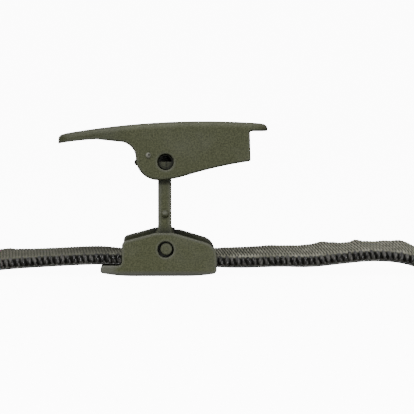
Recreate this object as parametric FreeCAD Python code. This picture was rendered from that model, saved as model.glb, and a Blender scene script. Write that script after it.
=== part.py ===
"""Folding lever lock for a 12.5 mm flat elastic strap: base channel, link, lever and the strap.

Frame: millimetres, +Z up. The origin is on the flat underside of the base, straight below the
lower pivot. +X runs along the strap towards the lever's deep end, +Y across the strap.
"""

import FreeCAD, Part
import math
import os

from FreeCAD import Vector

# Strap
STRAP_WIDTH = 12.5
STRAP_THICKNESS = 2.0

# Widths across the strap, shared by the base and the lever so that their sides are flush
WALL = 1.2
INNER_WIDTH = 13.0
OUTER_WIDTH = INNER_WIDTH + 2 * WALL

# Pivots, both along Y
LOWER_PIVOT = (0.0, 4.53)
UPPER_PIVOT = (0.0, 19.13)
HOLE_RADIUS = 1.33
TRUNNION_RADIUS = 1.27
TRUNNION_CHAMFER = 0.10
TIP_RADIUS = 0.99
TIP_LENGTH = 0.75
TIP_SHIFT = (0.11, 0.08)
STEP_DEPTH = 0.20
POCKET_RADIUS = 1.05
POCKET_END = 4.4
HOLE_EDGE = 0.18

# Base
BASE_LEFT = -10.90
BASE_RIGHT = 8.55
WALL_LEFT = -7.33
FLOOR_TOP = 1.70
FLOOR_STEP = (-8.13, -6.13)
FLOOR_BREAK = 5.0
FLOOR_END = (8.95, 1.12)
LIP_TOP = 1.82
LIP_UNDERSIDE = 0.62
TOE_CORNER = -7.55
HEEL_CORNER = 5.35
UNDERSIDE_SWEEP = 30.0
BOTTOM_EDGE = 0.95
RIM_EDGE = 0.20
PEAK_HEIGHT = 7.28
FAR_NOTCH_LEFT = 1.65
FAR_NOTCH_HEIGHT = 6.90
PEAK_LEFT = -1.7
PEAK_RIGHT = 1.25
LEFT_SHOULDER = 5.78
RIGHT_SHOULDER = 5.09
WALL_CORNER = 2.6
HEEL_UNDERSIDE = 0.50

# Link
LINK_THICKNESS = 2.28
LINK_OFFSET = -0.15
LINK_WIDTH = 12.7
LINK_WAIST_WIDTH = 12.2
WAIST_LOW = 6.85
WAIST_EDGE = 0.35
HUB_RADIUS = 2.45
HUB_HALF_THICKNESS = 2.0
HUB_FLAT = 0.72
HUB_FILLET = 4.0
FOOT_CORNER = 0.5
HEAD_RADIUS = 1.75
HEAD_FILLET = 2.5
UPPER_TRUNNION_END = 6.85
LOWER_TRUNNION_END = 7.62

# Lever
LEVER_LEFT = -17.95
LEVER_RIGHT = 17.15
CROWN = (6.7, 25.82)
CROWN_RADIUS = 140.0
TOP_EDGE = 0.9
LOWER_EDGE = 0.3
TAB_UNDERSIDE = 22.18
TAB_ROOT = (-11.5, 22.92)
OVERHANG_UNDERSIDE = 24.25
LEFT_CORNER = 2.5
RIGHT_CORNER = 2.8
PLATE_THICKNESS = 1.3
EAR_LEFT = -4.97
EAR_ARC_HEIGHT = 19.77
EAR_RADIUS = 3.67
BELLY_END = (3.1, 16.77)
THROAT_RADIUS = 2.73
BLOCK_RIGHT = 14.2
BLOCK_BOTTOM = 19.22
BLOCK_CORNER = (0.3, 0.33)
TAB_SLOPE = 10.5
CAVITY_LEFT = (-10.4, -9.6)
CAVITY_STEP = 22.8
CAVITY_RIGHT = 12.85
CAVITY_BOTTOM = 12.0
RIB = (4.6, 5.6)
RIB_BOTTOM = 19.6
NUB = ((-4.84, 18.65), 0.62)

# Gate marks, the small round scars left by moulding: (x, z), radius and height
LEVER_GATE = ((-2.87, 20.28), 0.52, 0.18)
LINK_GATE = ((-0.08, 10.4), 0.68, 0.40)

# Strap centre line (x, z), from its left end to its right end
STRAP_ROUTE = [
    (-34.0, 1.05),
    (-28.6, 1.94),
    (-22.6, 2.39),
    (-16.6, 2.72),
    (-11.4, 2.94),
    (-7.0, 2.84),
    (-2.5, 2.76),
    (2.5, 2.74),
    (6.2, 2.71),
    (9.6, 2.30),
    (14.2, 2.28),
    (19.2, 2.48),
    (24.6, 2.30),
    (29.6, 2.92),
    (34.8, 3.44),
    (39.6, 3.12),
    (43.8, 1.85),
    (48.2, 1.05),
]


class Outline:
    """A closed outline in the XZ plane, drawn point by point; bend() leaves along the tangent."""

    def __init__(self, x, z):
        self.first = Vector(x, 0, z)
        self.last = self.first
        self.heading = None
        self.edges = []

    def line(self, x, z):
        end = Vector(x, 0, z)
        self.edges.append(Part.LineSegment(self.last, end).toShape())
        self.heading = math.atan2(end.z - self.last.z, end.x - self.last.x)
        self.last = end
        return self

    def bend(self, x, z, heading=None):
        """An arc that starts along the present heading, or along one given in degrees."""
        if heading is not None:
            self.heading = math.radians(heading)
        end = Vector(x, 0, z)
        chord = end - self.last
        turn = math.atan2(chord.z, chord.x) - self.heading
        turn = math.atan2(math.sin(turn), math.cos(turn))
        reach = chord.Length / 2 / math.cos(turn / 2)
        angle = self.heading + turn / 2
        middle = self.last + Vector(math.cos(angle), 0, math.sin(angle)) * reach
        self.edges.append(Part.Arc(self.last, middle, end).toShape())
        self.heading += 2 * turn
        self.last = end
        return self

    def face(self):
        if self.last.distanceToPoint(self.first) > 1e-6:
            self.line(self.first.x, self.first.z)
        return Part.Face(Part.Wire(self.edges))

    def prism(self, low_y, high_y):
        solid = self.face().extrude(Vector(0, high_y - low_y, 0))
        solid.translate(Vector(0, low_y, 0))
        return solid


def box(low, high):
    size = [b - a for a, b in zip(low, high)]
    return Part.makeBox(*size, Vector(*low))


def cylinder_y(centre, radius, low_y, high_y):
    return Part.makeCylinder(radius, high_y - low_y, Vector(centre[0], low_y, centre[1]), Vector(0, 1, 0))


def rounded_plan(left, right, half_width, left_corner, right_corner, low_z, high_z):
    """A block whose outline seen from above is a rectangle with rounded corners."""
    corners = [
        (left, -half_width, left_corner, 1, 1),
        (right, -half_width, right_corner, -1, 1),
        (right, half_width, right_corner, -1, -1),
        (left, half_width, left_corner, 1, -1),
    ]
    block = box((left, -half_width, low_z), (right, half_width, high_z))
    for x, y, radius, inward_x, inward_y in corners:
        centre = Vector(x + inward_x * radius, y + inward_y * radius, low_z)
        square = box(
            (min(x, centre.x), min(y, centre.y), low_z),
            (max(x, centre.x), max(y, centre.y), high_z),
        )
        post = Part.makeCylinder(radius, high_z - low_z, centre)
        block = block.cut(square.cut(post))
    return block


def fillet_where(solid, radius, wanted):
    """Round the edges for which wanted(edge) is true."""
    edges = [edge for edge in solid.Edges if wanted(edge)]
    return solid.makeFillet(radius, edges)


def edge_points(edge, count=5):
    low, high = edge.ParameterRange
    return [edge.valueAt(low + (high - low) * i / (count - 1)) for i in range(count)]


def on_side_face(edge, half_width):
    """True for an edge that lies wholly in one of the two outer side faces."""
    return all(abs(abs(p.y) - half_width) < 1e-3 for p in edge_points(edge))


def gate_mark(mark, face_y):
    """A shallow dome on the face whose normal points away from the middle plane."""
    (x, z), radius, height = mark
    side = math.copysign(1, face_y)
    dome_radius = (radius**2 + height**2) / (2 * height)
    centre = Vector(x, face_y - side * (dome_radius - height), z)
    ball = Part.makeSphere(dome_radius, centre)
    low, high = sorted((face_y - side * 0.2, face_y + side * (height + 0.2)))
    return ball.common(box((x - 1, low, z - 1), (x + 1, high, z + 1)))


def pivot_hole(solid, centre):
    """Bore both side walls and round the mouth of each hole."""
    half = OUTER_WIDTH / 2
    bored = solid.cut(cylinder_y(centre, HOLE_RADIUS, -half - 1, half + 1))

    def mouth(edge):
        if not on_side_face(edge, half):
            return False
        return all(
            abs(math.hypot(p.x - centre[0], p.z - centre[1]) - HOLE_RADIUS) < 1e-3
            for p in edge_points(edge)
        )

    return fillet_where(bored, HOLE_EDGE, mouth)


def rounded_polygon(corners):
    """A face in the XZ plane from (x, z, radius) corners, each rounded by a tangent arc."""
    count = len(corners)
    edges = []
    starts = []
    ends = []
    for i, (x, z, radius) in enumerate(corners):
        corner = Vector(x, 0, z)
        before = Vector(corners[i - 1][0], 0, corners[i - 1][1])
        after = Vector(corners[(i + 1) % count][0], 0, corners[(i + 1) % count][1])
        back = (before - corner).normalize()
        ahead = (after - corner).normalize()
        half_turn = (math.pi - back.getAngle(ahead)) / 2
        setback = radius * math.tan(half_turn)
        start = corner + back * setback
        end = corner + ahead * setback
        bisector = (back + ahead).normalize()
        middle = corner + bisector * (radius / math.cos(half_turn) - radius)
        starts.append(start)
        ends.append(end)
        edges.append(Part.Arc(start, middle, end).toShape())
    for i in range(count):
        edges.append(Part.LineSegment(ends[i], starts[(i + 1) % count]).toShape())
    return Part.Face(Part.Wire(Part.__sortEdges__(edges)))


def base_profile():
    """The base's side view: lip on the left, wall with its peak over the pivot, round right end."""
    return rounded_polygon(
        [
            (BASE_LEFT, LIP_UNDERSIDE, 0.4),
            (TOE_CORNER, 0.0, UNDERSIDE_SWEEP),
            (HEEL_CORNER, 0.0, UNDERSIDE_SWEEP),
            (BASE_RIGHT, HEEL_UNDERSIDE, 0.75),
            (BASE_RIGHT, RIGHT_SHOULDER, WALL_CORNER),
            (PEAK_RIGHT, PEAK_HEIGHT, 2.0),
            (PEAK_LEFT, PEAK_HEIGHT, 2.0),
            (WALL_LEFT, LEFT_SHOULDER, 0.9),
            (WALL_LEFT, LIP_TOP, 0.65),
            (BASE_LEFT, LIP_TOP, 0.5),
        ]
    )


def make_base():
    half = OUTER_WIDTH / 2
    body = base_profile().extrude(Vector(0, OUTER_WIDTH, 0))
    body.translate(Vector(0, -half, 0))
    body = fillet_where(body, RIM_EDGE, lambda edge: on_side_face(edge, half))
    block = box((BASE_LEFT - 1, -half, 0), (BASE_RIGHT + 1, half, PEAK_HEIGHT + 1))

    def lower_corner(edge):
        return on_side_face(edge, half) and max(abs(p.z) for p in edge_points(edge)) < 1e-6

    body = body.common(fillet_where(block, BOTTOM_EDGE, lower_corner))

    # The channel for the strap, open at both ends and along the top
    channel = Outline(BASE_LEFT - 2, LIP_TOP)
    channel.line(FLOOR_STEP[0], LIP_TOP)
    channel.line(FLOOR_STEP[1], FLOOR_TOP)
    channel.line(FLOOR_BREAK, FLOOR_TOP)
    channel.line(*FLOOR_END)
    channel.line(BASE_RIGHT + 2, FLOOR_END[1])
    channel.line(BASE_RIGHT + 2, PEAK_HEIGHT + 2)
    channel.line(BASE_LEFT - 2, PEAK_HEIGHT + 2)
    body = body.cut(channel.prism(-INNER_WIDTH / 2, INNER_WIDTH / 2))
    # The far wall's peak has a small flat on its right
    flat_low = (FAR_NOTCH_LEFT, INNER_WIDTH / 2 - 0.5, FAR_NOTCH_HEIGHT)
    body = body.cut(box(flat_low, (BASE_RIGHT, half + 1, PEAK_HEIGHT + 1)))
    return pivot_hole(body, LOWER_PIVOT)


def link_profile():
    """The link's side view: a cam-shaped hub, a thin web and a round head."""
    half = LINK_THICKNESS / 2
    ax, az = LOWER_PIVOT[0] + LINK_OFFSET, LOWER_PIVOT[1]
    bx, bz = UPPER_PIVOT[0] + LINK_OFFSET, UPPER_PIVOT[1]
    rise = math.sqrt((HUB_RADIUS + HUB_FILLET) ** 2 - (half + HUB_FILLET) ** 2)
    web_low = az + rise
    reach = HUB_RADIUS / (HUB_RADIUS + HUB_FILLET)
    hub_x, hub_z = (half + HUB_FILLET) * reach, rise * reach
    drop = math.sqrt((HEAD_RADIUS + HEAD_FILLET) ** 2 - (half + HEAD_FILLET) ** 2)
    web_high = bz - drop
    reach = HEAD_RADIUS / (HEAD_RADIUS + HEAD_FILLET)
    head_x, head_z = (half + HEAD_FILLET) * reach, -drop * reach
    profile = Outline(ax - HUB_HALF_THICKNESS + FOOT_CORNER, az - HUB_FLAT)
    profile.line(ax + HUB_HALF_THICKNESS - FOOT_CORNER, az - HUB_FLAT)
    profile.bend(ax + HUB_HALF_THICKNESS, az - HUB_FLAT + FOOT_CORNER, heading=0)
    shoulder = math.sqrt(HUB_RADIUS**2 - HUB_HALF_THICKNESS**2)
    profile.line(ax + HUB_HALF_THICKNESS, az + shoulder)
    profile.bend(ax + hub_x, az + hub_z, heading=90 + math.degrees(math.asin(shoulder / HUB_RADIUS)))
    profile.bend(ax + half, web_low)
    profile.line(bx + half, web_high)
    profile.bend(bx + head_x, bz + head_z, heading=90)
    profile.bend(bx, bz + HEAD_RADIUS)
    profile.bend(bx - head_x, bz + head_z)
    profile.bend(bx - half, web_high)
    profile.line(ax - half, web_low)
    profile.bend(ax - hub_x, az + hub_z)
    profile.bend(ax - HUB_HALF_THICKNESS, az + shoulder)
    profile.line(ax - HUB_HALF_THICKNESS, az - HUB_FLAT + FOOT_CORNER)
    profile.bend(ax - HUB_HALF_THICKNESS + FOOT_CORNER, az - HUB_FLAT, heading=-90)
    return profile, web_low, web_high


def chamfered_pin(centre, radius, root, end):
    """A pin along Y from root to end, chamfered at its end."""
    pin = cylinder_y(centre, radius, *sorted((root, end)))
    rims = [e for e in pin.Edges if all(abs(p.y - end) < 1e-6 for p in edge_points(e))]
    return pin.makeChamfer(TRUNNION_CHAMFER, rims)


def lower_trunnion(side):
    """A full bearing with a slimmer tip that shows in the base's hole, slightly off its axis."""
    x, z = LOWER_PIVOT
    root = side * (LINK_WIDTH / 2 - 0.04)
    shoulder = side * (LOWER_TRUNNION_END - TIP_LENGTH)
    bearing = cylinder_y(LOWER_PIVOT, TRUNNION_RADIUS, *sorted((root, shoulder)))
    tip_centre = (x + TIP_SHIFT[0], z + TIP_SHIFT[1])
    tip = chamfered_pin(tip_centre, TIP_RADIUS, root, side * LOWER_TRUNNION_END)
    return bearing.fuse(tip)


def upper_trunnion(side):
    """A stub pin with one lower quarter a step deeper than the other."""
    x, z = UPPER_PIVOT
    end = side * UPPER_TRUNNION_END
    pin = chamfered_pin(UPPER_PIVOT, TRUNNION_RADIUS, side * (LINK_WIDTH / 2 - 0.04), end)
    ys = sorted((end - side * STEP_DEPTH, end + side))
    return pin.cut(box((x + 0.05, ys[0], z - 2), (x + 2, ys[1], z + 2)))


def upper_pocket(side):
    """The half-round blind hole that cores out the upper half of a head trunnion."""
    x, z = UPPER_PIVOT
    ys = sorted((side * POCKET_END, side * (UPPER_TRUNNION_END + 1)))
    bore = cylinder_y(UPPER_PIVOT, POCKET_RADIUS, *ys)
    return bore.common(box((x - 2, ys[0] - 1, z + 0.05), (x + 2, ys[1] + 1, z + 2)))


def make_link():
    profile, web_low, web_high = link_profile()
    half = LINK_WIDTH / 2
    waist = LINK_WAIST_WIDTH / 2
    body = profile.prism(-half, half)
    # The web is a little narrower than the hub and the head
    for side in (-1, 1):
        ys = sorted((side * waist, side * (half + 1)))
        notch = box((-3, ys[0], WAIST_LOW), (3, ys[1], web_high - 0.3))
        body = body.cut(notch)

    def web_edge(edge):
        points = edge_points(edge)
        inside = all(web_low - 0.1 < p.z < web_high - 0.2 for p in points)
        return inside and all(abs(abs(p.y) - waist) < 1e-3 for p in points) and edge.Length > 3

    body = fillet_where(body, WAIST_EDGE, web_edge)
    pins = [make(side) for make in (lower_trunnion, upper_trunnion) for side in (-1, 1)]
    body = body.fuse(pins).cut([upper_pocket(side) for side in (-1, 1)])
    body = body.fuse(gate_mark(LINK_GATE, -waist))
    return body.removeSplitter()


def crown_height(x):
    """Height of the lever's crowned top."""
    return CROWN[1] - CROWN_RADIUS + math.sqrt(CROWN_RADIUS**2 - (x - CROWN[0]) ** 2)


def lever_profile():
    """The lever's side view: thumb tab on the left, ears round the pivot, deep block on the right."""
    profile = Outline(LEVER_LEFT, TAB_UNDERSIDE)
    profile.bend(*TAB_ROOT, heading=TAB_SLOPE)
    profile.line(EAR_LEFT - THROAT_RADIUS, EAR_ARC_HEIGHT + THROAT_RADIUS)
    profile.bend(EAR_LEFT, EAR_ARC_HEIGHT, heading=0)
    ear_bottom = EAR_ARC_HEIGHT - EAR_RADIUS
    profile.bend(EAR_LEFT + EAR_RADIUS, ear_bottom, heading=-90)
    profile.bend(*BELLY_END, heading=0)
    profile.bend(BLOCK_RIGHT - BLOCK_CORNER[0], BLOCK_BOTTOM)
    profile.bend(BLOCK_RIGHT, BLOCK_BOTTOM + BLOCK_CORNER[1])
    profile.line(BLOCK_RIGHT - 0.12, OVERHANG_UNDERSIDE - 0.3)
    profile.bend(BLOCK_RIGHT + 0.2, OVERHANG_UNDERSIDE, heading=90)
    profile.line(LEVER_RIGHT, OVERHANG_UNDERSIDE)
    profile.line(LEVER_RIGHT, crown_height(LEVER_RIGHT))
    top_heading = 180 - math.degrees(math.asin((LEVER_RIGHT - CROWN[0]) / CROWN_RADIUS))
    profile.bend(LEVER_LEFT, crown_height(LEVER_LEFT), heading=top_heading)
    return profile


def make_lever():
    half = OUTER_WIDTH / 2
    inner = INNER_WIDTH / 2
    body = lever_profile().prism(-half, half)
    plan = rounded_plan(LEVER_LEFT, LEVER_RIGHT, half, LEFT_CORNER, RIGHT_CORNER, 10, 30)
    body = body.common(plan)

    def crown_rim(edge):
        return all(abs(p.z - crown_height(p.x)) < 0.01 for p in edge_points(edge))

    body = fillet_where(body, TOP_EDGE, crown_rim)

    def lower_rim(edge):
        points = edge_points(edge)
        beyond_tab = min(p.x for p in points) > TAB_ROOT[0] - 0.1
        return on_side_face(edge, half) and beyond_tab and max(p.z for p in points) < 24.1

    body = fillet_where(body, LOWER_EDGE, lower_rim)

    # The hollow between the side walls, open below; the link folds into it from the left
    hollow = Outline(CAVITY_LEFT[0], CAVITY_BOTTOM)
    hollow.line(CAVITY_RIGHT, CAVITY_BOTTOM)
    hollow.line(CAVITY_RIGHT, crown_height(CAVITY_RIGHT) - PLATE_THICKNESS)
    hollow.line(CROWN[0], CROWN[1] - PLATE_THICKNESS)
    hollow.line(CAVITY_LEFT[1], crown_height(CAVITY_LEFT[1]) - PLATE_THICKNESS)
    hollow.line(CAVITY_LEFT[0], CAVITY_STEP)
    body = body.cut(hollow.prism(-inner, inner))

    # One cross rib ties the side walls together behind the pivot
    rib_top = CROWN[1] - PLATE_THICKNESS + 0.28
    rib = box((RIB[0], -inner - 0.2, RIB_BOTTOM), (RIB[1], inner + 0.2, rib_top))
    body = body.fuse(rib)
    body = pivot_hole(body, UPPER_PIVOT)
    # Detent nub on the back edge of the far ear, and the gate marks on the near side
    nub = cylinder_y(*NUB, half - WALL + 0.1, half - 0.1)
    body = body.fuse([nub, gate_mark(LEVER_GATE, -half)])
    return body.removeSplitter()


def make_strap():
    """Flat strap: straight runs joined by tangent arcs, as large as their runs allow."""
    points = [Vector(x, 0, z) for x, z in STRAP_ROUTE]
    edges = []
    here = points[0]
    length = 0.0
    for before, corner, after in zip(points, points[1:], points[2:]):
        back = (before - corner).normalize()
        ahead = (after - corner).normalize()
        half_turn = (math.pi - back.getAngle(ahead)) / 2
        shorter = min(before.distanceToPoint(corner), corner.distanceToPoint(after))
        setback = 0.45 * shorter
        radius = setback / math.tan(half_turn)
        start = corner + back * setback
        end = corner + ahead * setback
        bisector = (back + ahead).normalize()
        middle = corner + bisector * (radius / math.cos(half_turn) - radius)
        edges.append(Part.LineSegment(here, start).toShape())
        edges.append(Part.Arc(start, middle, end).toShape())
        length += here.distanceToPoint(start) + 2 * half_turn * radius
        here = end
        print(f"strap bend at x {corner.x:6.1f}: radius {radius:7.1f} mm")
    edges.append(Part.LineSegment(here, points[-1]).toShape())
    length += here.distanceToPoint(points[-1])
    path = Part.Wire(edges)

    first = (points[1] - points[0]).normalize()
    up = Vector(-first.z, 0, first.x) * (STRAP_THICKNESS / 2)
    across = Vector(0, STRAP_WIDTH / 2, 0)
    corners = [-across - up, across - up, across + up, -across + up]
    ring = [points[0] + c for c in corners]
    section = Part.makePolygon(ring + [ring[0]])
    solid = path.makePipeShell([section], True, False)
    expected = STRAP_WIDTH * STRAP_THICKNESS * length
    print(f"strap length {length:.2f} mm, volume {solid.Volume:.1f} of {expected:.1f} mm3")
    return solid


PARTS = {
    "base": make_base,
    "link": make_link,
    "lever": make_lever,
    "elastic_strap": make_strap,
}


def main():
    os.makedirs("parts", exist_ok=True)
    shapes = {}
    for name, make in PARTS.items():
        shape = make()
        shapes[name] = shape
        box_ = shape.BoundBox
        print(
            f"{name}: {shape.ShapeType} solids {len(shape.Solids)} valid {shape.isValid()} "
            f"volume {shape.Volume:.1f} x {box_.XMin:.2f}..{box_.XMax:.2f} "
            f"y {box_.YMin:.2f}..{box_.YMax:.2f} z {box_.ZMin:.2f}..{box_.ZMax:.2f}"
        )
        shape.exportStep(f"parts/{name}.step")
    names = list(shapes)
    for i, first in enumerate(names):
        for second in names[i + 1 :]:
            shared = shapes[first].common(shapes[second]).Volume
            if shared > 1e-4:
                print(f"overlap {first} and {second}: {shared:.4f} mm3")


if __name__ == "__main__":
    main()
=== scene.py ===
"""Looks for the strap lever lock: woven elastic strap, moulded plastic, floor and light.

Metres throughout, in the CAD frame: +X along the strap, +Y across it, +Z up.
"""

import math
import random
from collections import namedtuple

import bpy
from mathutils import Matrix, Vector


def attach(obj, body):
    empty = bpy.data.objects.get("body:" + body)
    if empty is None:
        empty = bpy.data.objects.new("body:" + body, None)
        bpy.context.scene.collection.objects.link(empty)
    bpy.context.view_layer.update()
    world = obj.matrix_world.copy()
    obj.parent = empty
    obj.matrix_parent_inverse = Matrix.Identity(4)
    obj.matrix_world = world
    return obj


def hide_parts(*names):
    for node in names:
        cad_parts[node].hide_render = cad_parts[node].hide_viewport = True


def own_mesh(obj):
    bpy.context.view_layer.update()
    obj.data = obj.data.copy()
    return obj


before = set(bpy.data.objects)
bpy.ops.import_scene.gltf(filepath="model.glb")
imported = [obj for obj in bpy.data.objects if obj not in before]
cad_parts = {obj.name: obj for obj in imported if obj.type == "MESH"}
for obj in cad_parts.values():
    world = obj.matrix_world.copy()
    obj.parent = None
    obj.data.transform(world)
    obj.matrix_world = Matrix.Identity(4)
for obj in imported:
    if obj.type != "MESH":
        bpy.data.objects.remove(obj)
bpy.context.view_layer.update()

MM = 0.001

# ---------------------------------------------------------------- camera

NEAR_FACE_Y = -7.7 * MM
VIEW_CENTRE = Vector((6.9 * MM, NEAR_FACE_Y, 11.65 * MM))
CAMERA_AT = Vector((0.1 * MM, -308.0 * MM, 28.6 * MM))
VIEW_WIDTH = 69.0 * MM  # at the near wall
SENSOR = 36.0
CLIP_START = 0.01
CLIP_END = 20.0


def make_camera():
    """The photo's view, a little raised, straight at the near side."""
    data = bpy.data.cameras.new("camera")
    camera = bpy.data.objects.new("camera", data)
    bpy.context.scene.collection.objects.link(camera)
    bpy.context.scene.camera = camera
    sight = VIEW_CENTRE - CAMERA_AT
    camera.location = CAMERA_AT
    camera.rotation_mode = "QUATERNION"
    camera.rotation_quaternion = sight.to_track_quat("-Z", "Y")
    data.sensor_width = SENSOR
    data.lens = SENSOR * sight.length / VIEW_WIDTH
    data.clip_start = CLIP_START
    data.clip_end = CLIP_END


make_camera()

# ---------------------------------------------------------------- helpers for meshes


def new_object(name, verts, faces):
    """A smooth-shaded mesh object in the scene."""
    mesh = bpy.data.meshes.new(name)
    mesh.from_pydata([tuple(v) for v in verts], [], faces)
    mesh.validate()
    mesh.update()
    for face in mesh.polygons:
        face.use_smooth = True
    obj = bpy.data.objects.new(name, mesh)
    bpy.context.scene.collection.objects.link(obj)
    return obj


def clamp(value):
    return min(max(value, 0.0), 1.0)


def eased(table, x):
    """The value at x in a table of (x, value) rows, eased from each row to the next."""
    if x <= table[0][0]:
        return table[0][1]
    for (x0, v0), (x1, v1) in zip(table, table[1:]):
        if x <= x1:
            t = (x - x0) / (x1 - x0)
            t = t * t * (3 - 2 * t)
            return v0 + (v1 - v0) * t
    return table[-1][1]


# ---------------------------------------------------------------- strap's line

STRAP_WIDTH = 12.5 * MM
STRAP_THICKNESS = 2.0 * MM

# The strap's middle, (x, z) in mm, as in part.py
STRAP_ROUTE_MM = [
    (-34.0, 1.05),
    (-28.6, 1.94),
    (-22.6, 2.39),
    (-16.6, 2.72),
    (-11.4, 2.94),
    (-7.0, 2.84),
    (-2.5, 2.76),
    (2.5, 2.74),
    (6.2, 2.71),
    (9.6, 2.30),
    (14.2, 2.28),
    (19.2, 2.48),
    (24.6, 2.30),
    (29.6, 2.92),
    (34.8, 3.44),
    (39.6, 3.12),
    (43.8, 1.85),
    (48.2, 1.05),
]
ROUTE_RESOLUTION = 32
HEADING_STEP = 0.4 * MM

# The strap's twist: how far its far edge stands above its near one, in mm, along x in mm
LIFT = [
    (-34.0, 0.85),
    (-27.0, 0.98),
    (-25.6, 0.70),
    (-24.2, 0.62),
    (-22.9, 0.52),
    (-21.0, 0.47),
    (-18.0, 0.42),
    (-12.2, 0.42),
    (-6.0, 0.00),
    (3.5, 0.00),
    (8.5, 0.52),
    (10.4, 0.74),
    (13.1, 0.86),
    (15.8, 0.94),
    (18.4, 1.06),
    (19.8, 1.00),
    (22.4, 1.06),
    (25.1, 1.22),
    (27.4, 1.50),
    (29.1, 1.16),
    (30.6, 0.86),
    (32.0, 0.84),
    (33.1, 1.16),
    (34.6, 0.80),
    (36.0, 0.74),
    (38.4, 1.08),
    (40.5, 1.56),
    (44.0, 1.00),
    (48.2, 0.00),
]


def strap_line():
    """The route as a NURBS spline, read back as points."""
    curve = bpy.data.curves.new("strap_route", "CURVE")
    curve.dimensions = "3D"
    spline = curve.splines.new("NURBS")
    spline.points.add(len(STRAP_ROUTE_MM) - 1)
    for point, (x, z) in zip(spline.points, STRAP_ROUTE_MM):
        point.co = (x * MM, 0.0, z * MM, 1.0)
    spline.order_u = 3
    spline.use_endpoint_u = True
    spline.resolution_u = ROUTE_RESOLUTION
    holder = bpy.data.objects.new("strap_route", curve)
    mesh = bpy.data.meshes.new_from_object(holder)
    points = [v.co.copy() for v in mesh.vertices]
    bpy.data.meshes.remove(mesh)
    bpy.data.curves.remove(curve)
    return points


class Line:
    """Places at any distance along a line of points, and the strap around it."""

    def __init__(self, points):
        self.points = points
        self.at = [0.0]
        for a, b in zip(points, points[1:]):
            self.at.append(self.at[-1] + (b - a).length)
        self.length = self.at[-1]
        self.index = 0

    def place(self, s):
        """The point at distance s. The search starts where the last one ended."""
        s = min(max(s, 0.0), self.length)
        i = min(self.index, len(self.at) - 2)
        while i > 0 and self.at[i] > s:
            i -= 1
        while i < len(self.at) - 2 and self.at[i + 1] < s:
            i += 1
        self.index = i
        span = self.at[i + 1] - self.at[i]
        t = (s - self.at[i]) / span if span > 0 else 0.0
        return self.points[i].lerp(self.points[i + 1], t)

    def point(self, s, y, z):
        """The point at distance s, y across and z above the strap's middle, with its twist."""
        here = self.place(s)
        ahead = self.place(s + HEADING_STEP)
        heading = (ahead - self.place(s - HEADING_STEP)).normalized()
        up = Vector((-heading.z, 0.0, heading.x))
        lift = eased(LIFT, here.x / MM) * MM
        share = y / STRAP_WIDTH + 0.5
        return here + up * (z + lift * share) + Vector((0.0, y, 0.0))


line = Line(strap_line())

# ---------------------------------------------------------------- woven band

BAND_WIDTH = 11.7 * MM
BAND_THICKNESS = 1.94 * MM
ACROSS = 60
AROUND = 8
PER_RIB = 6

# The ribs of weft: the slant is length along per width across, the chevron a share of a rib
RIB_PITCH = 0.52 * MM
RIB_HEIGHT = 0.14 * MM
RIB_SLANT = 0.08
RIB_POWER = 0.7
RIB_BASE = 0.6
CHEVRON = 0.12

# The lengthwise grooves
WALE_PITCH = 1.3 * MM
WALE_DEPTH = 0.06 * MM
WALE_POWER = 3

# Near its edges the band is smoother
CALM_FROM = 4.4 * MM
CALM_OVER = 1.2 * MM
CALM = 0.85


def half_round(y, radius, start):
    """The points between the ends of a half circle round (y, 0), from the angle start."""
    for k in range(1, AROUND):
        a = start + math.pi * k / AROUND
        yield y + radius * math.cos(a), radius * math.sin(a), math.cos(a), math.sin(a)


def band_section():
    """The band's outline as (y, z, normal y, normal z), counterclockwise seen along +X."""
    radius = BAND_THICKNESS / 2
    flat = BAND_WIDTH / 2 - radius
    steps = [2 * flat * k / ACROSS for k in range(ACROSS + 1)]
    rows = [(flat - step, radius, 0.0, 1.0) for step in steps]
    rows += half_round(-flat, radius, math.pi / 2)
    rows += [(-flat + step, -radius, 0.0, -1.0) for step in steps]
    rows += half_round(flat, radius, -math.pi / 2)
    return rows


def weave(s, y):
    """How far the weave stands out at a place on the band, and how many ribs it is along."""
    wale = y / WALE_PITCH
    side = 1 if int(math.floor(wale)) % 2 else -1
    phase = (s + RIB_SLANT * y) / RIB_PITCH + CHEVRON * side * (2 * (wale % 1.0) - 1)
    rib = 0.5 + 0.5 * math.cos(2 * math.pi * phase)
    groove = 0.5 + 0.5 * math.cos(2 * math.pi * wale)
    fade = 1.0 - CALM * clamp((abs(y) - CALM_FROM) / CALM_OVER)
    out = RIB_HEIGHT * (rib**RIB_POWER - RIB_BASE) - WALE_DEPTH * groove**WALE_POWER
    return fade * out, phase


def make_band():
    """The woven band: ribs of weft across it, in chevrons between shallow lengthwise grooves."""
    section = band_section()
    count = int(line.length / RIB_PITCH * PER_RIB)
    verts = []
    uvs = []
    for i in range(count + 1):
        s = line.length * i / count
        for y, z, ny, nz in section:
            out, phase = weave(s, y)
            verts.append(line.point(s, y + ny * out, z + nz * out))
            uvs.append((phase, y / STRAP_WIDTH + 0.5))
    n = len(section)
    faces = []
    for i in range(count):
        for k in range(n):
            a = i * n + k
            b = i * n + (k + 1) % n
            faces.append((a, a + n, b + n, b))
    faces.append(tuple(range(n)))
    faces.append(tuple(reversed(range(count * n, count * n + n))))
    obj = new_object("strap_band", verts, faces)
    layer = obj.data.uv_layers.new(name="weave")
    for loop in obj.data.loops:
        layer.data[loop.index].uv = uvs[loop.vertex_index]
    for face in obj.data.polygons[-2:]:
        face.material_index = 1
        face.use_smooth = False
    return obj


# ---------------------------------------------------------------- yarn along the edges

TUBE_SIDES = 8

# The edge's loops, with the ranges that each loop's own measures are drawn from
LOOP_PITCH = 0.95 * MM
LOOP_START = 0.75
LOOP_SHIFT = 0.08
LOOP_LEAN = (0.10, 0.36)
LOOP_STEPS = 20
LOOP_HEIGHT = 1.04
YARN_RADIUS = 0.365 * MM
YARN_SPREAD = (0.80, 1.12)

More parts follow.
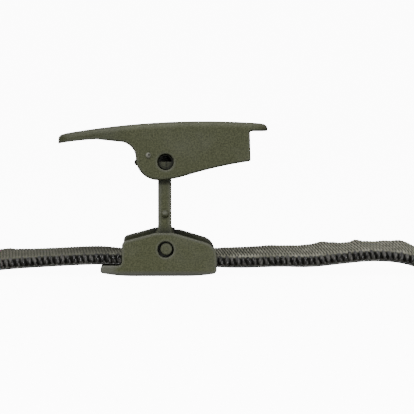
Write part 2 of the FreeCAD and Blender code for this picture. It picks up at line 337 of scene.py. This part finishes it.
# How far a loop reaches over the band at its top and under it at its foot
LOOP_REACH = 0.95 * MM
REACH_SPREAD = (0.7, 1.25)
REACH_POWER = 1.4
FOOT_REACH = 0.15 * MM

# How far a loop stands out from the edge, and sinks below the strap's faces, in mm
OUT_MM = (-0.12, 0.05)
TOP_SUNK_MM = (0.08, 0.22)
FOOT_SUNK_MM = (0.0, 0.06)
TOP_INSET = 0.6
FOOT_INSET = 0.75

# The two plies of a loop wind round each other, in shares of the yarn's radius
WINDING = (1.4, 2.8)
PLY_ALONG = 0.42
PLY_OUT = 0.30
PLY_RADIUS = 0.66
PLY_THINNING = 0.12
THINNING_POWER = 4

# The locking thread under an edge, in mm
LOCK_STEPS = 10
LOCK_START = 0.5
LOCK_PHASE = 0.25
LOCK_INSET_MM = 0.32
LOCK_SWAY_MM = 0.05
LOCK_ABOVE_MM = 0.17
LOCK_BOB_MM = 0.03
LOCK_JITTER_MM = 0.01
LOCK_RADIUS_MM = 0.20
LOCK_SWELL_MM = 0.02


def tube(verts, faces, path, radii):
    """Adds a closed tube along a list of points, with a radius for each."""
    start = len(verts)
    last = len(path) - 1
    side = Vector((1.0, 0.0, 0.0))
    for i, here in enumerate(path):
        heading = (path[min(i + 1, last)] - path[max(i - 1, 0)]).normalized()
        side = (side - heading * side.dot(heading)).normalized()
        other = heading.cross(side)
        for k in range(TUBE_SIDES):
            a = 2 * math.pi * k / TUBE_SIDES
            verts.append(here + (side * math.cos(a) + other * math.sin(a)) * radii[i])
    for i in range(last):
        for k in range(TUBE_SIDES):
            a = start + i * TUBE_SIDES + k
            b = start + i * TUBE_SIDES + (k + 1) % TUBE_SIDES
            faces.append((a, b, b + TUBE_SIDES, a + TUBE_SIDES))
    faces.append(tuple(reversed(range(start, start + TUBE_SIDES))))
    end = start + last * TUBE_SIDES
    faces.append(tuple(range(end, end + TUBE_SIDES)))


def make_edge_yarn(name, side, seed):
    """Two-ply loops bound round one edge of the strap; side is -1 for the near edge, +1 far."""
    draw = random.Random(seed)
    verts = []
    faces = []
    turns = int(line.length / LOOP_PITCH) - 1
    for turn in range(turns):
        s0 = LOOP_PITCH * (turn + LOOP_START + draw.uniform(-LOOP_SHIFT, LOOP_SHIFT))
        lean = draw.uniform(*LOOP_LEAN) * LOOP_PITCH
        reach = LOOP_REACH * draw.uniform(*REACH_SPREAD)
        size = YARN_RADIUS * draw.uniform(*YARN_SPREAD)
        out = draw.uniform(*OUT_MM) * MM
        top = STRAP_THICKNESS / 2 - TOP_INSET * size - draw.uniform(*TOP_SUNK_MM) * MM
        foot = STRAP_THICKNESS / 2 - FOOT_INSET * size - draw.uniform(*FOOT_SUNK_MM) * MM
        twist = draw.uniform(0.0, 2 * math.pi)
        winding = draw.uniform(*WINDING)
        for ply in (0.0, math.pi):
            path = []
            radii = []
            for k in range(LOOP_STEPS + 1):
                share = k / LOOP_STEPS
                a = math.pi * share
                upper = a < math.pi / 2
                round_ply = twist + ply + winding * math.pi * share
                pull = reach if upper else FOOT_REACH
                y = STRAP_WIDTH / 2 - size + out - pull * (1 - math.sin(a)) ** REACH_POWER
                y += PLY_OUT * size * math.sin(round_ply) * math.sin(a)
                z = (top if upper else foot) * math.cos(a) * LOOP_HEIGHT
                s = s0 - lean * (1 - 2 * share) + PLY_ALONG * size * math.cos(round_ply)
                path.append(line.point(s, side * y, z))
                thinner = PLY_THINNING * math.cos(a) ** THINNING_POWER
                radii.append(size * (PLY_RADIUS - thinner))
            tube(verts, faces, path, radii)
    return new_object(name, verts, faces)


def make_lock_yarn(name, side, seed):
    """The locking thread under one edge, wavy because each loop pulls it in."""
    draw = random.Random(seed)
    verts = []
    faces = []
    path = []
    radii = []
    count = int((line.length - LOOP_PITCH) / LOOP_PITCH) * LOCK_STEPS
    for k in range(count + 1):
        s = LOOP_PITCH * (LOCK_START + k / LOCK_STEPS)
        wave = math.cos(2 * math.pi * (k / LOCK_STEPS - LOCK_PHASE))
        jitter = draw.uniform(-LOCK_JITTER_MM, LOCK_JITTER_MM)
        y = STRAP_WIDTH / 2 + (LOCK_SWAY_MM * wave - LOCK_INSET_MM) * MM
        z = (LOCK_ABOVE_MM + LOCK_BOB_MM * wave + jitter) * MM - STRAP_THICKNESS / 2
        path.append(line.point(s, side * y, z))
        radii.append((LOCK_RADIUS_MM + LOCK_SWELL_MM * wave) * MM)
    tube(verts, faces, path, radii)
    return new_object(name, verts, faces)


band = make_band()
edge_yarns = [
    make_edge_yarn("edge_yarn_near", -1, 11),
    make_edge_yarn("edge_yarn_far", 1, 12),
]
lock_yarns = [
    make_lock_yarn("lock_yarn_near", -1, 13),
    make_lock_yarn("lock_yarn_far", 1, 14),
]
yarns = edge_yarns + lock_yarns

# ---------------------------------------------------------------- materials


class Nodes:
    """A small helper for building a node material. Its methods return output sockets."""

    def __init__(self, name):
        self.material = bpy.data.materials.new(name)
        self.material.use_nodes = True
        self.tree = self.material.node_tree
        self.bsdf = self.tree.nodes["Principled BSDF"]
        self.coords = self.tree.nodes.new("ShaderNodeTexCoord").outputs

    def add(self, kind, inputs=(), **settings):
        """A new node with its settings, and numbers or sockets for its inputs."""
        node = self.tree.nodes.new(kind)
        for key, value in settings.items():
            setattr(node, key, value)
        for key, value in dict(inputs).items():
            self.feed(node.inputs[key], value)
        return node

    def feed(self, socket, value):
        """Links a socket to an input, or sets the input to a number or colour."""
        if isinstance(value, bpy.types.NodeSocket):
            self.tree.links.new(value, socket)
        else:
            socket.default_value = value

    def noise(self, scale, detail, roughness, vector=None):
        inputs = {"Scale": scale, "Detail": detail, "Roughness": roughness}
        inputs["Vector"] = self.coords["Object"] if vector is None else vector
        return self.add("ShaderNodeTexNoise", inputs).outputs["Fac"]

    def fibres(self, scale):
        """Noise drawn out along fibres: the scale is per metre along each axis."""
        inputs = {"Vector": self.coords["Object"], "Scale": scale}
        stretch = self.add("ShaderNodeMapping", inputs)
        return self.noise(*FIBRE_NOISE, stretch.outputs["Vector"])

    def part(self, vector, axis):
        return self.add("ShaderNodeSeparateXYZ", {"Vector": vector}).outputs[axis]

    def place(self, axis, span):
        """The place along an axis in shares of a span. Along Y both sides are alike."""
        value = self.part(self.coords["Object"], axis)
        if axis == "Y":
            value = self.math("ABSOLUTE", value)
        return self.math("DIVIDE", value, span)

    def math(self, operation, *values):
        node = self.add("ShaderNodeMath", operation=operation)
        for socket, value in zip(node.inputs, values):
            self.feed(socket, value)
        return node.outputs[0]

    def mix(self, factor, a, b):
        """Mixes two colours."""
        node = self.add("ShaderNodeMix", data_type="RGBA")
        for socket, value in zip((node.inputs[0], node.inputs[6], node.inputs[7]), (factor, a, b)):
            self.feed(socket, value)
        return node.outputs[2]

    def ramp(self, value, stops):
        """Levels of grey along a value, from two (place, level) stops."""
        node = self.add("ShaderNodeValToRGB", {"Fac": value})
        for element, (at, level) in zip(node.color_ramp.elements, stops):
            element.position = at
            element.color = (level, level, level, 1.0)
        return node.outputs["Color"]

    def layer(self, under, value, stops, tint):
        """Lays a colour over another as strongly as the stops say for a value."""
        return self.mix(self.ramp(value, stops), under, tint)

    def occlusion(self, distance, inside=False):
        inputs = {"Distance": distance}
        node = self.add("ShaderNodeAmbientOcclusion", inputs, samples=AO_SAMPLES, inside=inside)
        return node.outputs["AO"]

    def bump(self, height, distance, strength, under=None):
        inputs = {"Height": height, "Distance": distance, "Strength": strength}
        if under is not None:
            inputs["Normal"] = under
        return self.add("ShaderNodeBump", inputs).outputs["Normal"]

    def finish(self, **inputs):
        """Feeds the Principled shader's inputs, with _ for a space in their names."""
        for key, value in inputs.items():
            self.feed(self.bsdf.inputs[key.replace("_", " ")], value)
        return self.material


def assign(obj, *materials):
    obj.data.materials.clear()
    for material in materials:
        obj.data.materials.append(material)


def colour(r, g, b):
    return (r, g, b, 1.0)


def shaded(tint, share):
    return colour(*[c * share for c in tint[:3]])


# ---------------------------------------------------------------- moulded plastic

GREEN_BASE = colour(0.072, 0.079, 0.034)
GREEN_LIGHT = colour(0.104, 0.112, 0.056)
GREEN_DARK = colour(0.044, 0.049, 0.019)
# Pale tint for random haze, and for painted highlights, sheen and light from the floor
PALE_HIGHLIGHT_AND_HAZE = colour(0.140, 0.143, 0.122)
# Painted shade on the faces inside the channel
INNER_PAINTED_SHADE = colour(0.024, 0.027, 0.011)
# Painted shade: the colour laid in crevices, holes, under other parts, on the lever's tab and on
# rims that face down
PAINTED_SHADE_TINT = colour(0.008, 0.009, 0.006)
GATE_DISC = colour(0.20, 0.20, 0.165)
GATE_DOT = colour(0.018, 0.018, 0.014)

AO_SAMPLES = 8
BEVEL_SAMPLES = 6
RIM_HIGHLIGHT_WIDTH = 0.60 * MM
CREVICE_REACH = 2.0 * MM

# Noises as (scale, detail, roughness)
CLOUD = (420.0, 4.0, 0.65)
SPECK = (4300.0, 2.0, 0.7)
HAZE = (150.0, 3.0, 0.6)
COARSE = (1500.0, 3.0, 0.6)

# Stops as (value, strength)
SPECK_STOPS = ((0.40, 0.0), (0.60, 1.0))
CLOUD_STOPS = ((0.35, 0.35), (0.65, 0.0))
HAZE_STOPS = ((0.50, 0.0), (0.75, 0.22))
UPWARD_SHEEN_STOPS = ((0.15, 0.0), (0.75, 0.22))
DOWNWARD_STOPS = ((0.53, 0.0), (0.66, 1.0))
RIM_HIGHLIGHT_STOPS = ((0.55, 0.95), (0.93, 0.0))
CREVICE_STOPS = ((0.42, 1.0), (0.95, 0.0))
MARK_STOPS = ((0.60, 1.0), (1.0, 0.0))

PLASTIC_ROUGHNESS = (0.48, 0.66)
PLASTIC_SPECULAR = 0.30
COARSE_DEPTH = 0.05 * MM
FINE_DEPTH = 0.03 * MM

# A tint on part of a moulding, by place along an axis in shares of a span. The ones below paint
# light and shade.
Area = namedtuple("Area", "axis span stops tint")
# Painted shade towards the left end of the lever's tab
TAB_PAINTED_SHADE = Area("X", -20.0 * MM, ((0.28, 0.0), (0.50, 0.24)), PAINTED_SHADE_TINT)
# Painted light from the floor: the base's rounded bottom edges are paler
SOLE_PAINTED_LIGHT = Area("Z", 2.0 * MM, ((0.26, 0.95), (0.50, 0.0)), PALE_HIGHLIGHT_AND_HAZE)
# Painted highlight at the left end of the base's lip
LIP = Area("X", -10.0 * MM, ((0.79, 0.0), (0.90, 0.6)), PALE_HIGHLIGHT_AND_HAZE)
# Painted shade on the faces inside the channel
INNER_FACES = Area("Y", 10.0 * MM, ((0.650, 0.85), (0.656, 0.0)), INNER_PAINTED_SHADE)

# The link's pin faces keep only this much of the painted highlight on the rims
PIN_SPAN = 10.0 * MM
PIN_STOPS = ((0.64, 1.0), (0.68, 0.25))

# The lever's gate mark, as (place, radius, colour)
GATE_MARKS = (
    ((-2.87 * MM, NEAR_FACE_Y, 20.28 * MM), 0.50 * MM, GATE_DISC),
    ((-2.77 * MM, NEAR_FACE_Y, 20.34 * MM), 0.30 * MM, GATE_DOT),
)

# Each moulding: its colour's share, the grain's strength, how wide and how pale the painted
# highlight on its rims is, how much of that its lower rims lose, how dark the painted shade on
# those is, its areas and its marks
Finish = namedtuple("Finish", "share grain wide pale loss dark areas marks")
FINISHES = {
    "base": Finish(1.0, 0.34, 1.0, 1.0, 0.3, 0.0, (SOLE_PAINTED_LIGHT, LIP, INNER_FACES), ()),
    "link": Finish(0.96, 0.28, 1.5, 1.15, 1.0, 0.3, (), ()),
    "lever": Finish(0.91, 0.34, 1.0, 0.9, 1.0, 0.55, (TAB_PAINTED_SHADE,), GATE_MARKS),
}


def facing_down(m):
    """How much a rounded edge faces down, in the moulding's own axes."""
    rounded = m.add("ShaderNodeBevel", {"Radius": RIM_HIGHLIGHT_WIDTH}, samples=BEVEL_SAMPLES)
    own = m.add(
        "ShaderNodeVectorTransform",
        {"Vector": rounded.outputs["Normal"]},
        vector_type="NORMAL",
        convert_from="WORLD",
        convert_to="OBJECT",
    )
    tilt = m.part(own.outputs["Vector"], "Z")
    return m.ramp(m.math("MULTIPLY_ADD", tilt, -0.5, 0.5), DOWNWARD_STOPS)


def plastic(node, finish):
    """Matt moulded nylon: fine spark-eroded grain, clouds and marks, with painted highlights on
    rims and upward faces and painted shade in crevices and on downward rims.
    """
    m = Nodes("plastic_" + node)
    cloud = m.noise(*CLOUD)
    speck = m.noise(*SPECK)
    light = shaded(GREEN_LIGHT, finish.share)
    body = m.layer(shaded(GREEN_DARK, finish.share), speck, SPECK_STOPS, light)
    body = m.layer(body, cloud, CLOUD_STOPS, shaded(GREEN_BASE, finish.share))
    body = m.layer(body, m.noise(*HAZE), HAZE_STOPS, PALE_HIGHLIGHT_AND_HAZE)
    # Painted sheen: faces that look up are paler
    body = m.layer(body, m.part(m.coords["Normal"], "Z"), UPWARD_SHEEN_STOPS, PALE_HIGHLIGHT_AND_HAZE)
    for area in finish.areas:
        body = m.layer(body, m.place(area.axis, area.span), area.stops, area.tint)

    # Painted highlight: pale rims along convex edges, found by ambient occlusion from inside,
    # weaker on rims that face down
    rim = m.ramp(m.occlusion(RIM_HIGHLIGHT_WIDTH * finish.wide, inside=True), RIM_HIGHLIGHT_STOPS)
    pale = m.math("MULTIPLY", rim, finish.pale)
    if node == "link":
        pale = m.math("MULTIPLY", pale, m.ramp(m.place("Y", PIN_SPAN), PIN_STOPS))
    below = facing_down(m)
    keep = m.math("SUBTRACT", 1.0, m.math("MULTIPLY", below, finish.loss))
    body = m.mix(m.math("MULTIPLY", pale, keep), body, PALE_HIGHLIGHT_AND_HAZE)
    # Painted shade on rims that face down
    body = m.mix(m.math("MULTIPLY", below, finish.dark), body, PAINTED_SHADE_TINT)
    # Painted shade: darker in crevices, holes and under other parts, found by ambient occlusion
    body = m.layer(body, m.occlusion(CREVICE_REACH), CREVICE_STOPS, PAINTED_SHADE_TINT)

    for place, radius, tint in finish.marks:
        gap = m.add("ShaderNodeVectorMath", {0: m.coords["Object"], 1: place}, operation="DISTANCE")
        within = m.math("DIVIDE", gap.outputs["Value"], radius)
        body = m.layer(body, within, MARK_STOPS, tint)

    low, high = PLASTIC_ROUGHNESS
    rough = m.add("ShaderNodeMapRange", {"Value": cloud, "To Min": low, "To Max": high})
    coarse = m.bump(m.noise(*COARSE), COARSE_DEPTH, finish.grain)
    return m.finish(
        Base_Color=body,
        Roughness=rough.outputs["Result"],
        Specular_IOR_Level=PLASTIC_SPECULAR,
        Normal=m.bump(speck, FINE_DEPTH, finish.grain, coarse),
    )


for node, finish in FINISHES.items():
    assign(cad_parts[node], plastic(node, finish))

# ---------------------------------------------------------------- elastic

BAND_BASE = colour(0.265, 0.264, 0.210)
BAND_LIGHT = colour(0.440, 0.434, 0.356)
BAND_DARK = colour(0.120, 0.120, 0.092)
BAND_SHADE = colour(0.088, 0.088, 0.068)
# Painted shade between the ribs; also the dark yarn of the cut end
BAND_GAP = colour(0.034, 0.034, 0.025)
YARN_BASE = colour(0.021, 0.020, 0.017)
YARN_LIGHT = colour(0.076, 0.073, 0.064)
YARN_DARK = colour(0.006, 0.006, 0.005)

FIBRE_NOISE = (1.0, 4.0, 0.65)
FIBRE_DEPTH = 0.05 * MM

BAND_FIBRES = (7000.0, 1100.0, 7000.0)
BAND_CLOUD = (520.0, 3.0, 0.6)
BAND_ROUGHNESS = 0.82
BAND_SPECULAR = 0.15
BAND_BUMP = 0.7

# From dark to lit: the fibres, the clouds, and the ribs, with painted shade in the gaps between
# them
THREAD_STOPS = ((0.30, 0.0), (0.70, 1.0))
LIGHT_STOPS = ((0.42, 0.0), (0.72, 0.75))
RIB_STOPS = ((0.15, 0.0), (0.60, 1.0))

# Across the band, as shares of the strap's width from its middle
SMOOTH_EDGE_STOPS = ((0.36, 0.0), (0.45, 0.8))
BOUND_EDGE_STOPS = ((0.436, 0.0), (0.456, 1.0))

# Left of the lock the band is in shade: x in shares of a span, with 0.5 at the pivot
SHADE_SPAN = 100.0 * MM
SHADE_STOPS = ((0.40, 0.75), (0.56, 0.0))

YARN_FIBRES = (16000.0, 2500.0, 2500.0)
YARN_CLOUD = (2.0, 0.5)
FILAMENT_STOPS = ((0.32, 0.0), (0.68, 1.0))
SHINE_STOPS = ((0.45, 0.0), (0.64, 0.9))
YARN_ROUGHNESS_STOPS = ((0.35, 0.24), (0.65, 0.52))
YARN_SPECULAR = 0.75
YARN_BUMP = 0.8

# Patches of shine per metre along the edge's yarn and the locking thread
EDGE_PATCHES = 900.0
LOCK_PATCHES = 330.0

RUBBER_SCALE = 1500.0
RUBBER_STOPS = ((0.25, 1.0), (0.42, 0.0))
CUT_ROUGHNESS = 0.85
CUT_DEPTH = 0.08 * MM
CUT_BUMP = 0.6


def band_cloth():
    """Woven olive elastic: lit ribs with painted shade between them, darker towards both edges."""
    m = Nodes("elastic_band")
    uv = m.add("ShaderNodeUVMap", uv_map="weave").outputs["UV"]
    turn = m.math("MULTIPLY", m.part(uv, "X"), 2 * math.pi)
    rib = m.math("MULTIPLY_ADD", m.math("COSINE", turn), 0.5, 0.5)
    edge = m.math("ABSOLUTE", m.math("SUBTRACT", m.part(uv, "Y"), 0.5))
    fibre = m.fibres(BAND_FIBRES)
    thread = m.layer(BAND_DARK, fibre, THREAD_STOPS, BAND_BASE)
    thread = m.layer(thread, m.noise(*BAND_CLOUD), LIGHT_STOPS, BAND_LIGHT)
    lit = m.math("MAXIMUM", m.ramp(rib, RIB_STOPS), m.ramp(edge, SMOOTH_EDGE_STOPS))
    # Painted shade: the gaps between the ribs are dark
    cloth = m.mix(lit, BAND_GAP, thread)
    x = m.part(m.coords["Object"], "X")
    along = m.math("MULTIPLY_ADD", x, 1.0 / SHADE_SPAN, 0.5)
    cloth = m.layer(cloth, along, SHADE_STOPS, BAND_SHADE)
    cloth = m.layer(cloth, edge, BOUND_EDGE_STOPS, YARN_DARK)
    return m.finish(
        Base_Color=cloth,
        Roughness=BAND_ROUGHNESS,
        Specular_IOR_Level=BAND_SPECULAR,
        Normal=m.bump(fibre, FIBRE_DEPTH, BAND_BUMP),
    )


def cut_cloth():
    """The cut end of the elastic: pale rubber threads in dark yarn."""
    m = Nodes("elastic_cut")
    inputs = {"Scale": RUBBER_SCALE, "Vector": m.coords["Object"]}
    threads = m.add("ShaderNodeTexVoronoi", inputs)
    rubber = m.ramp(threads.outputs["Distance"], RUBBER_STOPS)
    return m.finish(
        Base_Color=m.mix(rubber, BAND_GAP, BAND_LIGHT),
        Roughness=CUT_ROUGHNESS,
        Normal=m.bump(rubber, CUT_DEPTH, CUT_BUMP),
    )


def yarn_cloth(name, patches):
    """Dark glossy filament yarn: fine streaks along it and patches of shine."""
    m = Nodes(name)
    fibre = m.fibres(YARN_FIBRES)
    cloud = m.noise(patches, *YARN_CLOUD)
    body = m.layer(YARN_DARK, fibre, FILAMENT_STOPS, YARN_BASE)
    body = m.layer(body, cloud, SHINE_STOPS, YARN_LIGHT)
    return m.finish(
        Base_Color=body,
        Roughness=m.ramp(cloud, YARN_ROUGHNESS_STOPS),
        Specular_IOR_Level=YARN_SPECULAR,
        Normal=m.bump(fibre, FIBRE_DEPTH, YARN_BUMP),
    )


assign(band, band_cloth(), cut_cloth())
for pieces, patches in ((edge_yarns, EDGE_PATCHES), (lock_yarns, LOCK_PATCHES)):
    for yarn in pieces:
        assign(yarn, yarn_cloth("elastic_" + yarn.name, patches))

# ---------------------------------------------------------------- what rides on what

for piece in [band, *yarns]:
    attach(piece, "base_body")
    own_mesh(piece)
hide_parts("elastic_strap")

# ---------------------------------------------------------------- floor and light

FLOOR_RADIUS = 1.1
FLOOR_CORNER = 0.5
FLOOR_WALL = 2.2
FLOOR_SIDES = 96
CORNER_STEPS = 12
FLOOR_COLOUR = colour(0.85, 0.85, 0.85)
FLOOR_ROUGHNESS = 0.9
WHITE = colour(1.0, 1.0, 1.0)
FLOOR_GLOW = 11.0


def floor_material():
    """Plain white, lit by itself, and see-through from outside."""
    m = Nodes("floor")
    m.finish(
        Base_Color=FLOOR_COLOUR,
        Roughness=FLOOR_ROUGHNESS,
        Emission_Color=WHITE,
        Emission_Strength=FLOOR_GLOW,
    )
    see_through = m.add("ShaderNodeBsdfTransparent")
    geometry = m.add("ShaderNodeNewGeometry")
    inputs = {
        0: geometry.outputs["Backfacing"],
        1: m.bsdf.outputs["BSDF"],
        2: see_through.outputs["BSDF"],
    }
    mixed = m.add("ShaderNodeMixShader", inputs)
    m.feed(m.tree.nodes["Material Output"].inputs["Surface"], mixed.outputs["Shader"])
    return m.material


def make_floor():
    """A round pale floor that curves up into a wall, seen by the camera from inside only."""
    profile = [(FLOOR_RADIUS, 0.0)]
    for k in range(1, CORNER_STEPS + 1):
        a = math.pi / 2 * k / CORNER_STEPS
        r = FLOOR_RADIUS + FLOOR_CORNER * math.sin(a)
        profile.append((r, FLOOR_CORNER - FLOOR_CORNER * math.cos(a)))
    profile.append((FLOOR_RADIUS + FLOOR_CORNER, FLOOR_WALL))
    verts = [Vector((0.0, 0.0, 0.0))]
    for r, z in profile:
        for k in range(FLOOR_SIDES):
            a = 2 * math.pi * k / FLOOR_SIDES
            verts.append(Vector((r * math.cos(a), r * math.sin(a), z)))
    faces = [(0, 1 + k, 1 + (k + 1) % FLOOR_SIDES) for k in range(FLOOR_SIDES)]
    for row in range(len(profile) - 1):
        for k in range(FLOOR_SIDES):
            a = 1 + row * FLOOR_SIDES + k
            b = 1 + row * FLOOR_SIDES + (k + 1) % FLOOR_SIDES
            faces.append((a, a + FLOOR_SIDES, b + FLOOR_SIDES, b))
    floor = new_object("floor", verts, faces)
    assign(floor, floor_material())
    floor.visible_diffuse = False
    floor.visible_glossy = False
    floor.visible_shadow = False


make_floor()

# Soft boxes: name, place, what it points at, width and height, watts
LIGHTS = (
    ("key", (-0.22, -0.48, 0.27), (0.0, 0.0, 0.012), (0.20, 0.12), 1.9),
    ("front", (0.22, -0.54, 0.06), (0.0, 0.0, 0.012), (0.26, 0.14), 0.8),
    ("overhead", (-0.05, -0.15, 0.60), (0.0, 0.0, 0.01), (0.30, 0.30), 1.2),
)

# How bright the studio is all round, from straight down, 0, over level, 0.5, to straight up, 1
SKY_LEVELS = ((0.0, 0.18), (0.36, 0.45), (0.47, 0.12), (0.60, 0.16), (0.78, 0.45), (1.0, 1.0))
SKY_STRENGTH = 0.75


def area_light(name, place, aim, size, power):
    data = bpy.data.lights.new(name, "AREA")
    data.shape = "RECTANGLE"
    data.size, data.size_y = size
    data.energy = power
    lamp = bpy.data.objects.new(name, data)
    bpy.context.scene.collection.objects.link(lamp)
    lamp.location = place
    lamp.rotation_mode = "QUATERNION"
    lamp.rotation_quaternion = (Vector(aim) - Vector(place)).to_track_quat("-Z", "Y")


def make_studio():
    """The world's soft light, brighter above than at the sides."""
    world = bpy.data.worlds.new("studio")
    bpy.context.scene.world = world
    world.use_nodes = True
    sky = world.node_tree
    coords = sky.nodes.new("ShaderNodeTexCoord")
    height = sky.nodes.new("ShaderNodeSeparateXYZ")
    levels = sky.nodes.new("ShaderNodeValToRGB")
    shift = sky.nodes.new("ShaderNodeMath")
    shift.operation = "MULTIPLY_ADD"
    shift.inputs[1].default_value = 0.5
    shift.inputs[2].default_value = 0.5
    background = sky.nodes["Background"]
    background.inputs["Strength"].default_value = SKY_STRENGTH
    sky.links.new(coords.outputs["Generated"], height.inputs["Vector"])
    sky.links.new(height.outputs["Z"], shift.inputs[0])
    sky.links.new(shift.outputs["Value"], levels.inputs["Fac"])
    sky.links.new(levels.outputs["Color"], background.inputs["Color"])
    for at, _ in SKY_LEVELS[1:-1]:
        levels.color_ramp.elements.new(at)
    for element, (_, level) in zip(levels.color_ramp.elements, SKY_LEVELS):
        element.color = (level, level, level, 1.0)


for light in LIGHTS:
    area_light(*light)
make_studio()
